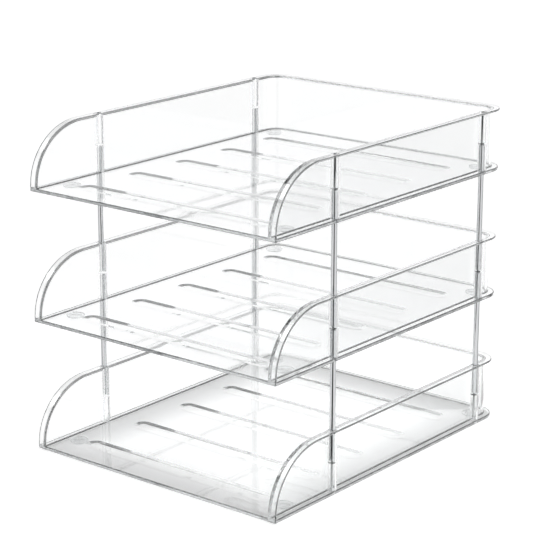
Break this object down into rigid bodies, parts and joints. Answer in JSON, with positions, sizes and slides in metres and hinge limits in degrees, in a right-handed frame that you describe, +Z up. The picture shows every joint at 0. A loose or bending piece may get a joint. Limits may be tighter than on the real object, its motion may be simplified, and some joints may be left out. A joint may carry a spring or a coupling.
{
  "type": "letter tray",
  "caption": "Clear letter tray of stacked open-front tiers with flanged rims, standing on each other by polished rods in moulded sleeves, with round clear feet.",
  "frame": {"origin": "centre of the footprint, on the surface the tray stands on", "axes": "+Z up, the open front faces -Y, +X to the right seen from the front"},
  "size_m": [0.246, 0.304, 0.2662],
  "materials": {
    "clear_plastic": "clear moulded polystyrene, polished",
    "polished_steel": "polished plated steel",
    "clear_silicone": "clear soft silicone, slightly hazy"
  },
  "bodies": {
    "bottom_tier": {"bottom_tray": "clear_plastic", "bottom_foot_front_left": "clear_silicone", "bottom_foot_front_right": "clear_silicone", "bottom_foot_rear_left": "clear_silicone", "bottom_foot_rear_right": "clear_silicone"},
    "lower_rods": {"lower_rod_front_left": "polished_steel", "lower_rod_front_right": "polished_steel", "lower_rod_rear_left": "polished_steel", "lower_rod_rear_right": "polished_steel"},
    "middle_tier": {"middle_tray": "clear_plastic", "middle_foot_front_left": "clear_silicone", "middle_foot_front_right": "clear_silicone", "middle_foot_rear_left": "clear_silicone", "middle_foot_rear_right": "clear_silicone"},
    "upper_rods": {"upper_rod_front_left": "polished_steel", "upper_rod_front_right": "polished_steel", "upper_rod_rear_left": "polished_steel", "upper_rod_rear_right": "polished_steel"},
    "top_tier": {"top_tray": "clear_plastic", "top_foot_front_left": "clear_silicone", "top_foot_front_right": "clear_silicone", "top_foot_rear_left": "clear_silicone", "top_foot_rear_right": "clear_silicone"}
  },
  "joints": [
    {"name": "lower_rods_lift", "type": "slide", "parent": "bottom_tier", "child": "lower_rods", "axis": [0, 0, 1], "range_m": [0, 0.024]},
    {"name": "middle_tier_lift", "type": "slide", "parent": "lower_rods", "child": "middle_tier", "axis": [0, 0, 1], "range_m": [0, 0.024]},
    {"name": "upper_rods_lift", "type": "slide", "parent": "middle_tier", "child": "upper_rods", "axis": [0, 0, 1], "range_m": [0, 0.024]},
    {"name": "top_tier_lift", "type": "slide", "parent": "upper_rods", "child": "top_tier", "axis": [0, 0, 1], "range_m": [0, 0.024]}
  ]
}
